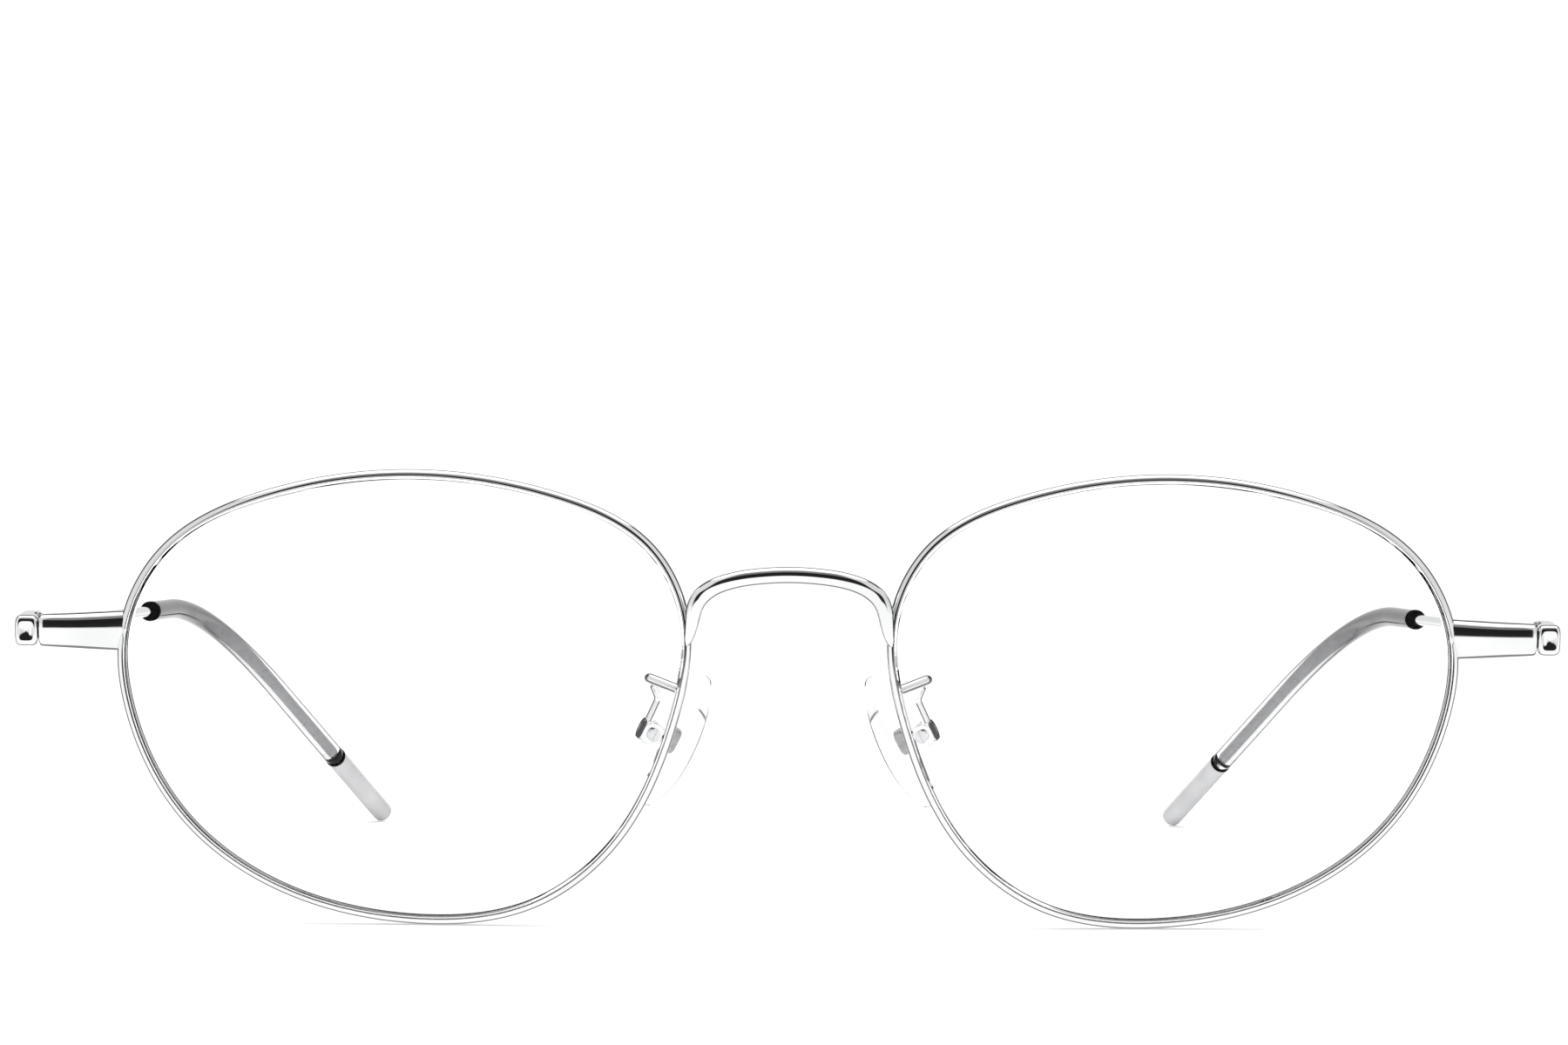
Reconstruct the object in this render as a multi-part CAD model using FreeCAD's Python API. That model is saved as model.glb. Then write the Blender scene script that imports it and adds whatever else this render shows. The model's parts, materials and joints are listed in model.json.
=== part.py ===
import FreeCAD
import Part
import math
import os

# Wire eyeglasses with adjustable nose pads and folding temples.
#
# The front is drawn upright in its own frame: x to the right, y back towards the ears and z up,
# with the origin midway between the two lenses. It is then leaned back by the pantoscopic tilt.
# The temples are drawn in the final frame, where the glasses stand on their rims and temple tips.
# Everything is drawn for the right-hand side (x > 0) and mirrored for the left-hand side.

V = FreeCAD.Vector

# Driving dimensions, in millimetres and degrees
RING_X = 35.2            # middle plane to the boxing centre of a lens
BASE_R = 132.0           # radius of the lens base curve
WRAP = 4.0               # each lens is turned back by this much at the temple side
TILT = 6.0               # pantoscopic tilt of the front
WIRE_W = 0.72            # rim wire, across
WIRE_D = 1.70            # rim wire, front to back
INNER_ROUND = 0.20       # corner of the rim wire on the lens side
OUTER_ROUND = 0.31       # and outside, across and in depth
OUTER_SLOPE = 0.60
GROOVE_DEEP = 0.34       # V groove that holds the lens
GROOVE_HALF = 0.45
RIM_SPLIT = 0.24         # cut through the rim at the closing block
LENS_THICK = 2.0
LENS_GAP = 0.05          # play between the lens edge and the rim
LENS_EDGE_GAP = 0.07     # play between the lens's flat edge and the rim's inner face

LUG_Z = 5.50             # middle of the endpiece, above the lens centre
LUG_FROM_X = 60.3
LUG_MID_X = 64.5
LUG_END_X = 68.3
LUG_FRONT_Y = 3.5        # its front face bows forward between its two ends
LUG_BOW = 0.15
LUG_END_BACK = 0.35
LUG_BACK_Y = 4.85
LUG_HALF_IN = 1.85       # half height at the rim and at the hinge
LUG_HALF_OUT = 1.45
LUG_ROUND = 0.35

CLOSING = V(62.75, 6.12, LUG_Z)      # axis of the rim screw
CLOSING_FROM_X = 60.7
CLOSING_TO_X = 64.1
CLOSING_BEHIND = 1.0     # block behind the rim screw's axis
CLOSING_HALF = 1.45      # height of each half of the closing block
CLOSING_GAP = 0.06
CLOSING_ROUND = 0.9
LOWER_GAP = 0.04         # the lower half is held by the screw only
RIM_SCREW_R = 0.50
RIM_SCREW_PLAY = 0.05
SCREW_SUNK = 0.05        # rim screw's ends below the block's faces
HEAD_R = 0.80            # screw heads, and the counterbore for the rim screw's head
HEAD_HIGH = 0.28
HEAD_ROUND = 0.12
COUNTERBORE_R = 0.88
COUNTERBORE_DEEP = 0.38
SLOT_HALF = 0.10         # screw slots
SLOT_DEEP = 0.14

BARREL = V(67.9, 6.1, LUG_Z)         # middle of the hinge's axis
KNUCKLE_R = 1.05
KNUCKLE_PLAY = 0.08      # around the endpiece's knuckles, in the temple's block
KNUCKLE_TOP = 0.95       # half height of the whole hinge barrel
KNUCKLE_MID = 0.45       # half height of the temple's own knuckle
KNUCKLE_GAP = 0.05
WEB_SUNK = 0.30          # webs of the endpiece's knuckles start inside its plate
WEB_GAP = 0.40           # web of the temple's knuckle stands clear of the plate
SCREW_R = 0.50
SCREW_PLAY = 0.03
SCREW_ABOVE = HEAD_HIGH  # hinge screw beyond the barrel
SCREW_BELOW = 0.15

BRIDGE_D = 1.40          # bridge, front to back
BRIDGE_FORWARD = 1.60    # how far its middle stands forward of its ends
BRIDGE_REACH = 11.0      # middle to the ends, where it meets the rims' depth
BRIDGE_END_Y = 0.75

TEMPLE_R = 0.55          # temple wire
TAPER_LONG = 4.5         # from the temple's front block down to the wire
BLOCK_IN_X = 68.36       # inner face of the temple's front block
BLOCK_OUT_X = 70.50
BLOCK_BEHIND = 2.2       # block behind the hinge axis
BLOCK_HALF_Z = 1.42
BLOCK_ROUND = 0.45
TAPER_IN_BLOCK = 0.5
TAPER_HALF_Z = 1.25      # taper where it leaves the block
TAPER_HALF_X = 0.95
BEND_R = 68.0            # bend of the temple behind the ear
BEND = V(64.7, 96.5, 27.2)
TIP = V(47.9, 140.5, 0.45)           # this height brings the domed end cap's underside down to the floor
SLEEVE_FROM = 57.0       # length along the wire from the block to the sleeve's mouth
SLEEVE_R0 = 1.00         # sleeve radius at its mouth and at its far end
SLEEVE_R1 = 1.20
SLEEVE_BORE = 0.60
COLLAR_LONG = 0.8
RING_LONG = 0.7
BAND_PROUD = 0.04        # collar and ring stand this much above the sleeve
CAP_R = 1.22             # end cap, a plain round bar with a domed end
CAP_LONG = 16.0
CAP_DOME = 0.73
CORE_IN_CAP = 3.0        # how far the wire runs into the end cap
CORE_END_PLAY = 0.3

PAD_CENTRE = V(10.4, 10.0, -5.2)
PAD_LEAN = 26.0          # top of the pad leans towards the nose
PAD_SPLAY = 25.0         # back of the pad stands away from the nose
PAD_THICK = 2.6
PAD_STEM = 2.8           # pad middle to the pivot
BOX_SLOT = 0.76          # slot of the pad box, along the pivot
BOX_CHEEK = 0.45
BOX_HALF = 1.05          # half height, and the floor's distance behind the pivot
BOX_MOUTH = 0.95         # cheeks in front of the pivot
BOX_FLOOR = 0.30
BOX_ROUND = 0.45
TAB_THICK = 0.60
TAB_HALF = 0.60
INSERT_THICK = 0.50      # metal plate inside the pad
INSERT_SHARE = 0.52      # its size beside the pad's outline
NECK_R = 0.75
NECK_OUT = 0.2
PIVOT_R = 0.30
PIVOT_PLAY = 0.04
PIVOT_HEAD_R = 0.62
PIVOT_HEAD_HIGH = 0.32
PIVOT_SLOT_HALF = 0.07
PIVOT_SLOT_DEEP = 0.14
ARM_R = 0.45

# Centreline of the right-hand rim about its boxing centre: (towards the temple, up).
# The first point is where the rim is split.
OUTLINE = [
    (25.62, 5.5), (21.8, 13.1), (12.7, 18.2), (-0.9, 20.4), (-14.3, 18.4), (-22.5, 13.9), (-25.6, 7.8),
    (-24.5, -2.6), (-19.4, -13.1), (-11.9, -18.9), (-1.3, -20.4), (10.8, -17.8), (19.7, -11.7), (24.9, -2.2),
]

# Upper and lower edges of the bridge seen from the front, from the middle out to the rim
BRIDGE_TOP = [(0.0, 12.4), (4.7, 12.0), (7.0, 11.35), (8.6, 10.3), (9.9, 9.25)]
BRIDGE_BOTTOM = [(0.0, 10.9), (4.7, 10.4), (6.8, 9.65), (7.75, 8.75), (8.2, 7.4), (8.45, 6.1), (8.75, 5.05)]

# A pad seen face on, a rounded D: its back edge bulges more than its front edge
PAD_OUTLINE = [
    (0.0, 6.75), (2.6, 4.6), (3.75, 0.4), (3.0, -4.3), (0.2, -6.75), (-2.5, -4.6), (-3.5, 0.0), (-2.3, 4.6),
]

# The pad's thickness profile: its size beside the outline, and how far out of its middle plane
PAD_PROFILE = [(0.80, -1.3), (0.97, -0.585), (1.0, 0.13), (0.90, 0.91), (0.62, 1.3)]

# Route of the pad arm, from the back of the rim round a U bend and down to the pad box
ARM_ROUTE = [V(9.5, 1.2, 0.4), V(9.8, 3.2, 0.6), V(12.9, 6.3, 1.35), V(12.5, 8.5, 0.6), V(11.9, 9.2, -1.0)]
ARM_BEND = 0.8
ARM_LANDS = (0.55, 0.9)  # behind and above the pivot

UP = V(0, 0, 1)
BEYOND = 5.0             # tools reach this far past what they cut
FRONT_OF_ALL = -6.0      # planes clear of the front of a rim and of its back
BACK_OF_ALL = 10.0


def turn(shape, axis, degrees):
    shape = shape.copy()
    shape.rotate(V(0, 0, 0), axis, degrees)
    return shape


def box(low, high):
    size = high - low
    return Part.makeBox(size.x, size.y, size.z, low)


def rod(start, end, radius):
    return Part.makeCylinder(radius, (end - start).Length, start, end - start)


def solid_of(faces):
    shell = Part.makeShell(faces)
    shell.sewShape()
    solid = Part.makeSolid(Part.Shell(shell.Faces))
    if solid.Volume < 0:
        solid.reverse()
    return solid


# ---------------------------------------------------------------- wire routes

def route_edges(points, bend_r):
    """Straight runs through the points, joined by tangent arcs of one radius."""
    edges = []
    start = points[0]
    for before, corner, after in zip(points, points[1:], points[2:]):
        into = (corner - before).normalize()
        out = (after - corner).normalize()
        angle = into.getAngle(out)
        back = bend_r * math.tan(angle / 2)
        arc_start = corner - into * back
        arc_end = corner + out * back
        inward = (out - into).normalize()
        middle = corner + inward * (bend_r / math.cos(angle / 2) - bend_r)
        edges.append(Part.makeLine(start, arc_start))
        edges.append(Part.Arc(arc_start, middle, arc_end).toShape())
        start = arc_end
    edges.append(Part.makeLine(start, points[-1]))
    return edges


def sweep(edges, start_r, end_r=None):
    """A round bar along the edges, straight or with a steady taper."""
    path = Part.Wire(edges)
    ends = []
    for edge, at, radius in ((edges[0], edges[0].FirstParameter, start_r),
                             (edges[-1], edges[-1].LastParameter, end_r or start_r)):
        circle = Part.Circle(edge.valueAt(at), edge.tangentAt(at), radius)
        ends.append(Part.Wire(circle.toShape()))
    if end_r is None:
        ends = ends[:1]
    return path.makePipeShell(ends, True, False)


def cut_route(edges, start, length):
    """The part of a route from one distance along it, over a length."""
    kept = []
    run = 0.0
    for edge in edges:
        low = max(start - run, 0.0)
        high = min(start + length - run, edge.Length)
        if high - low > 1e-6:
            first = edge.getParameterByLength(low)
            last = edge.getParameterByLength(high)
            kept.append(edge.Curve.toShape(first, last))
        run += edge.Length
    return kept


# ---------------------------------------------------------------- rims and lenses

def outline_curve():
    curve = Part.BSplineCurve()
    curve.interpolate(Points=[V(u, v, 0) for u, v in OUTLINE], PeriodicFlag=True)
    return curve


RIM_CURVE = outline_curve()


def rim_station(where, outward, depth):
    """A point beside the rim's centreline: where runs 0 to 1 round the rim from the split."""
    first = RIM_CURVE.FirstParameter
    last = RIM_CURVE.LastParameter
    at = first + (last - first) * where
    centre = RIM_CURVE.value(at)
    tangent = RIM_CURVE.tangent(at)[0]
    u = centre.x + tangent.y * outward
    v = centre.y - tangent.x * outward
    sag = BASE_R - math.sqrt(BASE_R ** 2 - u * u - v * v)
    inward = V(-u, BASE_R - sag, -v) * (1 / BASE_R)
    return V(u, sag, v) + inward * depth


def rim_line(outward, depth, flat_y=None, stations=96):
    """A smooth closed curve that runs round the rim at one offset from its centreline."""
    points = [rim_station(i / stations, outward, depth) for i in range(stations)]
    if flat_y is not None:
        points = [V(point.x, flat_y, point.z) for point in points]
    curve = Part.BSplineCurve()
    curve.interpolate(Points=points, PeriodicFlag=True)
    return curve.toShape()


def place_lens(shape):
    """From a lens's own frame, with y through its boxing centre, to the front's frame."""
    shape = turn(shape, V(0, 0, 1), WRAP)
    shape.translate(V(RING_X, 0, 0))
    return shape


def make_rim_inside():
    """All the space within the centreline of a rim, through the thickness of the front."""
    front = rim_line(0, 0, flat_y=FRONT_OF_ALL)
    back = rim_line(0, 0, flat_y=BACK_OF_ALL)
    faces = [Part.Face(Part.Wire(front)), Part.Face(Part.Wire(back)), Part.makeRuledSurface(front, back)]
    return place_lens(solid_of(faces))


def make_rim():
    half_w = WIRE_W / 2
    half_d = WIRE_D / 2
    profile = [(GROOVE_DEEP - half_w, 0.0), (-half_w, GROOVE_HALF)]
    for degrees in (0, 45, 90):
        across = 1 - math.cos(math.radians(degrees))
        depth = 1 - math.sin(math.radians(degrees))
        profile.append((INNER_ROUND * across - half_w, half_d - INNER_ROUND * depth))
    for degrees in (90, 60, 30, 0):
        across = 1 - math.cos(math.radians(degrees))
        depth = 1 - math.sin(math.radians(degrees))
        profile.append((half_w - OUTER_ROUND * across, half_d - OUTER_SLOPE * depth))
    profile += [(across, -depth) for across, depth in reversed(profile[1:])]
    lines = [rim_line(across, depth) for across, depth in profile]
    faces = []
    for line, following in zip(lines, lines[1:] + lines[:1]):
        faces.append(Part.makeRuledSurface(line, following))
    split_u, split_v = OUTLINE[0]
    corner = V(WIRE_D, BEYOND, RIM_SPLIT / 2)
    middle = V(split_u, BASE_R - math.sqrt(BASE_R ** 2 - split_u ** 2 - split_v ** 2), split_v)
    split = box(middle - corner, middle + corner)
    return place_lens(solid_of(faces).cut(split))


def make_lens():
    inner = -WIRE_W / 2
    apex = inner + GROOVE_DEEP - LENS_GAP
    flat = inner - LENS_EDGE_GAP
    ridge = (apex - flat) * GROOVE_HALF / GROOVE_DEEP
    lines = [
        rim_line(flat, 0, flat_y=FRONT_OF_ALL), rim_line(flat, -ridge), rim_line(apex, 0),
        rim_line(flat, ridge), rim_line(flat, 0, flat_y=BACK_OF_ALL),
    ]
    faces = [Part.Face(Part.Wire(lines[0])), Part.Face(Part.Wire(lines[-1]))]
    for line, following in zip(lines, lines[1:]):
        faces.append(Part.makeRuledSurface(line, following))
    edge = solid_of(faces)
    centre = V(0, BASE_R, 0)
    shell = Part.makeSphere(BASE_R + LENS_THICK / 2, centre)
    shell = shell.cut(Part.makeSphere(BASE_R - LENS_THICK / 2, centre))
    return place_lens(edge.common(shell))


# ---------------------------------------------------------------- bridge

def make_bridge(rim, inside):
    top = [V(-x, 0, z) for x, z in reversed(BRIDGE_TOP[1:])] + [V(x, 0, z) for x, z in BRIDGE_TOP]
    low = [V(-x, 0, z) for x, z in reversed(BRIDGE_BOTTOM[1:])] + [V(x, 0, z) for x, z in BRIDGE_BOTTOM]
    upper = Part.BSplineCurve()
    upper.interpolate(top)
    lower = Part.BSplineCurve()
    lower.interpolate(low)
    foot = V(BRIDGE_TOP[-1][0], 0, BRIDGE_BOTTOM[-1][1])
    foot_left = V(-foot.x, 0, foot.z)
    edges = [
        upper.toShape(), Part.makeLine(top[-1], foot), Part.makeLine(foot, low[-1]), lower.toShape(),
        Part.makeLine(low[0], foot_left), Part.makeLine(foot_left, top[0]),
    ]
    face = Part.Face(Part.Wire(Part.__sortEdges__(edges)))
    face.translate(V(0, FRONT_OF_ALL, 0))
    outline = face.extrude(V(0, BACK_OF_ALL - FRONT_OF_ALL, 0))
    bow = (BRIDGE_REACH ** 2 + BRIDGE_FORWARD ** 2) / (2 * BRIDGE_FORWARD)
    centre = V(0, BRIDGE_END_Y - BRIDGE_FORWARD + bow, 0)
    above = centre + UP * (BRIDGE_TOP[0][1] + BEYOND)
    band = rod(centre, above, bow + BRIDGE_D / 2)
    band = band.cut(rod(centre, above, bow - BRIDGE_D / 2))
    bridge = outline.common(band)
    for tool in (rim, inside):
        bridge = bridge.cut(tool).cut(tool.mirror(V(0, 0, 0), V(1, 0, 0)))
    return biggest(bridge)


def biggest(shape):
    return max(shape.Solids, key=lambda solid: solid.Volume)


# ---------------------------------------------------------------- endpiece, closing block and hinge

def barrel_slice(low, high, radius=KNUCKLE_R):
    return rod(BARREL + UP * low, BARREL + UP * high, radius)


def make_endpiece(rim, inside):
    edge_front = [V(LUG_FROM_X, LUG_FRONT_Y, 0), V(LUG_MID_X, LUG_FRONT_Y - LUG_BOW, 0),
                  V(LUG_END_X, LUG_FRONT_Y + LUG_END_BACK, 0)]
    front = Part.Arc(*edge_front).toShape()
    corners = [edge_front[-1], V(LUG_END_X, LUG_BACK_Y, 0), V(LUG_FROM_X, LUG_BACK_Y, 0), edge_front[0]]
    plan = Part.Face(Part.Wire([front] + Part.makePolygon(corners).Edges))
    plan.translate(UP * (LUG_Z - BEYOND))
    slab = plan.extrude(UP * 2 * BEYOND)
    upper_in = V(LUG_FROM_X, 0, LUG_Z + LUG_HALF_IN)
    upper_out = V(LUG_END_X, 0, LUG_Z + LUG_HALF_OUT)
    lower_out = V(LUG_END_X, 0, LUG_Z - LUG_HALF_OUT)
    lower_in = V(LUG_FROM_X, 0, LUG_Z - LUG_HALF_IN)
    elevation = Part.Face(Part.makePolygon([upper_in, upper_out, lower_out, lower_in, upper_in]))
    plate = slab.common(elevation.extrude(V(0, BACK_OF_ALL, 0)))
    front_edges = [edge for edge in plate.Edges if edge.CenterOfMass.y < LUG_FRONT_Y + LUG_BOW]
    plate = plate.makeFillet(LUG_ROUND, front_edges)
    for low, high in ((-KNUCKLE_TOP, -KNUCKLE_MID - KNUCKLE_GAP), (KNUCKLE_MID + KNUCKLE_GAP, KNUCKLE_TOP)):
        corner = V(-KNUCKLE_R, LUG_BACK_Y - BARREL.y - WEB_SUNK, low)
        web = box(BARREL + corner, BARREL + V(LUG_END_X - BARREL.x, 0, high))
        plate = plate.fuse(web).fuse(barrel_slice(low, high))
    bore = barrel_slice(-BEYOND, BEYOND, SCREW_R + SCREW_PLAY)
    return biggest(plate.cut(bore).cut(rim).cut(inside).removeSplitter())


def make_closing_half(rim, inside, upper):
    low = CLOSING_GAP if upper else -CLOSING_HALF
    high = CLOSING_HALF if upper else -CLOSING_GAP
    front = LUG_BACK_Y if upper else LUG_BACK_Y + LOWER_GAP
    far_corner = V(CLOSING_TO_X, CLOSING.y + CLOSING_BEHIND, LUG_Z + high)
    body = box(V(CLOSING_FROM_X, front, LUG_Z + low), far_corner)
    rounded = []
    for edge in body.Edges:
        upright = abs(edge.tangentAt(edge.FirstParameter).z) > 0.9
        if upright and edge.CenterOfMass.y > CLOSING.y:
            rounded.append(edge)
    body = body.makeFillet(CLOSING_ROUND, rounded)
    play = RIM_SCREW_PLAY if upper else 0.0
    hole = rod(CLOSING - UP * BEYOND, CLOSING + UP * BEYOND, RIM_SCREW_R + play)
    if upper:
        hole = hole.fuse(rod(CLOSING + UP * (high - COUNTERBORE_DEEP), CLOSING + UP * BEYOND, COUNTERBORE_R))
    return biggest(body.cut(hole).cut(rim).cut(inside))


def make_screw(centre, top, bottom, radius):
    """A small slotted screw that stands upright, its head's top face at a height."""
    head = rod(centre + UP * (top - HEAD_HIGH), centre + UP * top, HEAD_R)
    top_edges = [edge for edge in head.Edges if edge.CenterOfMass.z > centre.z + top - HEAD_ROUND]
    head = head.makeFillet(HEAD_ROUND, top_edges)
    screw = head.fuse(rod(centre + UP * bottom, centre + UP * (top - HEAD_HIGH / 2), radius))
    slot = box(centre + V(-HEAD_R, -SLOT_HALF, top - SLOT_DEEP), centre + V(HEAD_R, SLOT_HALF, top + BEYOND))
    return screw.cut(slot).removeSplitter()


def make_temple_block():
    """The temple's front end: a block beside the endpiece, with the hinge's middle knuckle."""
    low_corner = V(BLOCK_IN_X, LUG_FRONT_Y + LUG_END_BACK, LUG_Z - BLOCK_HALF_Z)
    block = box(low_corner, V(BLOCK_OUT_X, BARREL.y + BLOCK_BEHIND, LUG_Z + BLOCK_HALF_Z))
    rounded = [edge for edge in block.Edges if edge.CenterOfMass.x > BLOCK_OUT_X - BLOCK_ROUND]
    block = block.makeFillet(BLOCK_ROUND, rounded)
    web_corner = V((BLOCK_IN_X + BLOCK_OUT_X) / 2, BARREL.y + KNUCKLE_R, LUG_Z + KNUCKLE_MID)
    web = box(V(BARREL.x, LUG_BACK_Y + WEB_GAP, LUG_Z - KNUCKLE_MID), web_corner)
    for low, high in ((-BEYOND, -KNUCKLE_MID), (KNUCKLE_MID, BEYOND)):
        block = block.cut(barrel_slice(low, high, KNUCKLE_R + KNUCKLE_PLAY))
    block = block.fuse(web).fuse(barrel_slice(-KNUCKLE_MID, KNUCKLE_MID))
    return biggest(block.cut(barrel_slice(-BEYOND, BEYOND, SCREW_R + SCREW_PLAY)).removeSplitter())


# ---------------------------------------------------------------- nose pads

def pad_axes():
    """Unit vectors of the right-hand pad: across it (front to back), out of its face, and up along it."""
    lean = math.radians(PAD_LEAN)
    splay = math.radians(PAD_SPLAY)
    along = V(-math.sin(lean), 0, math.cos(lean))
    across = V(math.sin(splay), math.cos(splay), 0)
    across = (across - along * across.dot(along)).normalize()
    return across, along.cross(across), along


def place_pad(shape):
    across, face, along = pad_axes()
    matrix = FreeCAD.Matrix(across.x, face.x, along.x, PAD_CENTRE.x, across.y, face.y, along.y, PAD_CENTRE.y,
                            across.z, face.z, along.z, PAD_CENTRE.z, 0, 0, 0, 1)
    return shape.transformed(matrix)


def pad_section(share, y):
    curve = Part.BSplineCurve()
    curve.interpolate(Points=[V(x * share, y, z * share) for x, z in PAD_OUTLINE], PeriodicFlag=True)
    return Part.Wire(curve.toShape())


def pivot_rod(from_x, to_x, radius):
    """A round bar along the pad's pivot."""
    return rod(V(from_x, -PAD_STEM, 0), V(to_x, -PAD_STEM, 0), radius)


def make_pad_core():
    """The metal insert: an oval plate inside the pad, with a tab that reaches the pivot."""
    plate = Part.Face(pad_section(INSERT_SHARE, -INSERT_THICK / 2)).extrude(V(0, INSERT_THICK, 0))
    half = TAB_THICK / 2
    tab = box(V(-half, -PAD_STEM, -TAB_HALF), V(half, 0, TAB_HALF)).fuse(pivot_rod(-half, half, TAB_HALF))
    neck = rod(V(0, -PAD_THICK / 2 - NECK_OUT, 0), V(0, 0, 0), NECK_R)
    return plate.fuse(tab).fuse(neck).cut(pivot_rod(-BEYOND, BEYOND, PIVOT_R + PIVOT_PLAY)).removeSplitter()


def make_nose_pad(core):
    pad = Part.makeLoft([pad_section(share, y) for share, y in PAD_PROFILE], True, False)
    return pad.cut(core)


BOX_HALF_WIDE = BOX_SLOT / 2 + BOX_CHEEK


def make_pad_box():
    """A clevis that is open towards the pad."""
    back = -PAD_STEM - BOX_HALF
    body = box(V(-BOX_HALF_WIDE, back, -BOX_HALF), V(BOX_HALF_WIDE, BOX_MOUTH - PAD_STEM, BOX_HALF))
    edges = [edge for edge in body.Edges if abs(edge.tangentAt(edge.FirstParameter).x) > 0.9]
    body = body.makeFillet(BOX_ROUND, edges)
    slot = box(V(-BOX_SLOT / 2, back + BOX_FLOOR, -BEYOND), V(BOX_SLOT / 2, BEYOND, BEYOND))
    return body.cut(slot).cut(pivot_rod(-BEYOND, BEYOND, PIVOT_R))


def make_pad_screw():
    head_x = -BOX_HALF_WIDE - PIVOT_HEAD_HIGH
    head = pivot_rod(head_x, -BOX_HALF_WIDE, PIVOT_HEAD_R)
    slot = box(V(head_x - BEYOND, -PAD_STEM - PIVOT_SLOT_HALF, -BEYOND),
               V(head_x + PIVOT_SLOT_DEEP, -PAD_STEM + PIVOT_SLOT_HALF, BEYOND))
    return head.cut(slot).fuse(pivot_rod(-BOX_HALF_WIDE, BOX_HALF_WIDE, PIVOT_R)).removeSplitter()


def make_pad_arm(rim, pad_box):
    across, face, along = pad_axes()
    behind, above = ARM_LANDS
    landing = PAD_CENTRE - face * (PAD_STEM + behind) + along * above
    arm = sweep(route_edges(ARM_ROUTE + [landing], ARM_BEND), ARM_R)
    return biggest(arm.cut(rim).cut(pad_box))


# ---------------------------------------------------------------- temples

def make_temple(block):
    """Block, taper and wire. Returns the solid and the wire's route."""
    root = V((BLOCK_IN_X + BLOCK_OUT_X) / 2, block.BoundBox.YMax - TAPER_IN_BLOCK, block.CenterOfMass.z)
    route = route_edges([root, BEND, TIP], BEND_R)
    heading = (BEND - root).normalize()
    wide = Part.Ellipse(root + UP * TAPER_HALF_Z, root + V(TAPER_HALF_X, 0, 0), root).toShape()
    narrow = Part.Circle(root + heading * TAPER_LONG, heading, TEMPLE_R).toShape()
    taper = Part.makeLoft([Part.Wire(wide), Part.Wire(narrow)], True)
    long = sum(edge.Length for edge in route) - CAP_LONG + CORE_IN_CAP
    wire = sweep(cut_route(route, 0, long), TEMPLE_R)
    return biggest(block.fuse(taper).fuse(wire)), route


def make_tip_parts(route):
    """Collar, clear sleeve, joint ring and end cap, one after the other along the wire."""
    total = sum(edge.Length for edge in route)
    cap_from = total - CAP_LONG
    ring_from = cap_from - RING_LONG
    sleeve_from = SLEEVE_FROM + COLLAR_LONG
    bore_to = cap_from + CORE_IN_CAP + CORE_END_PLAY
    bore = sweep(cut_route(route, SLEEVE_FROM - BEYOND, bore_to - SLEEVE_FROM + BEYOND), SLEEVE_BORE)
    sleeve = sweep(cut_route(route, sleeve_from, ring_from - sleeve_from), SLEEVE_R0, SLEEVE_R1)
    collar = sweep(cut_route(route, SLEEVE_FROM, COLLAR_LONG), SLEEVE_R0 + BAND_PROUD)
    ring = sweep(cut_route(route, ring_from, RING_LONG), SLEEVE_R1 + BAND_PROUD)
    heading = route[-1].tangentAt(route[-1].LastParameter)
    cap_end = TIP - heading * CAP_DOME
    cap = rod(TIP - heading * CAP_LONG, cap_end, CAP_R)
    dome_edges = [edge for edge in cap.Edges if (edge.CenterOfMass - cap_end).Length < CAP_R]
    cap = cap.makeFillet(CAP_DOME, dome_edges)
    parts = {"temple_sleeve": sleeve, "sleeve_collar": collar, "joint_ring": ring, "tip_cap": cap}
    return {name: part.cut(bore) for name, part in parts.items()}


# ---------------------------------------------------------------- the whole pair of glasses

def front_parts():
    """Every piece of the front in its upright frame: shared pieces, and the right-hand set."""
    rim = make_rim()
    inside = make_rim_inside()
    shared = {"bridge": make_bridge(rim, inside)}
    pad_core = make_pad_core()
    pad_box = place_pad(make_pad_box())
    side = {
        "rim": rim,
        "lens": make_lens(),
        "closing_block_upper": make_closing_half(rim, inside, True),
        "closing_block_lower": make_closing_half(rim, inside, False),
        "rim_screw": make_screw(CLOSING, CLOSING_HALF - SCREW_SUNK, SCREW_SUNK - CLOSING_HALF, RIM_SCREW_R),
        "endpiece": make_endpiece(rim, inside),
        "hinge_screw": make_screw(BARREL, KNUCKLE_TOP + SCREW_ABOVE, -KNUCKLE_TOP - SCREW_BELOW, SCREW_R),
        "pad_arm": make_pad_arm(rim, pad_box),
        "pad_box": pad_box,
        "pad_screw": place_pad(make_pad_screw()),
        "pad_core": place_pad(pad_core),
        "nose_pad": place_pad(make_nose_pad(pad_core)),
        "temple_block": make_temple_block(),
    }
    return shared, side


def lean_back(shape):
    return turn(shape, V(1, 0, 0), TILT)


def main():
    shared, side = front_parts()
    shared = {name: lean_back(shape) for name, shape in shared.items()}
    side = {name: lean_back(shape) for name, shape in side.items()}
    lift = V(0, 0, -side["rim"].optimalBoundingBox().ZMin)
    for shape in list(shared.values()) + list(side.values()):
        shape.translate(lift)

    temple, route = make_temple(side.pop("temple_block"))
    side["temple"] = temple
    side.update(make_tip_parts(route))

    everything = Part.makeCompound(list(shared.values()) + list(side.values()))
    size = everything.optimalBoundingBox()
    centring = V(0, -(size.YMin + size.YMax) / 2, 0)

    os.makedirs("parts", exist_ok=True)
    for name, shape in shared.items():
        shape.translate(centring)
        shape.exportStep("parts/" + name + ".step")
    for name, shape in side.items():
        shape.translate(centring)
        shape.exportStep("parts/" + name + "_right.step")
        shape.mirror(V(0, 0, 0), V(1, 0, 0)).exportStep("parts/" + name + "_left.step")


main()
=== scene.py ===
"""Wire eyeglasses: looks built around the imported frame. Lengths are millimetres until a mesh is made."""

import json
import math

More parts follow.
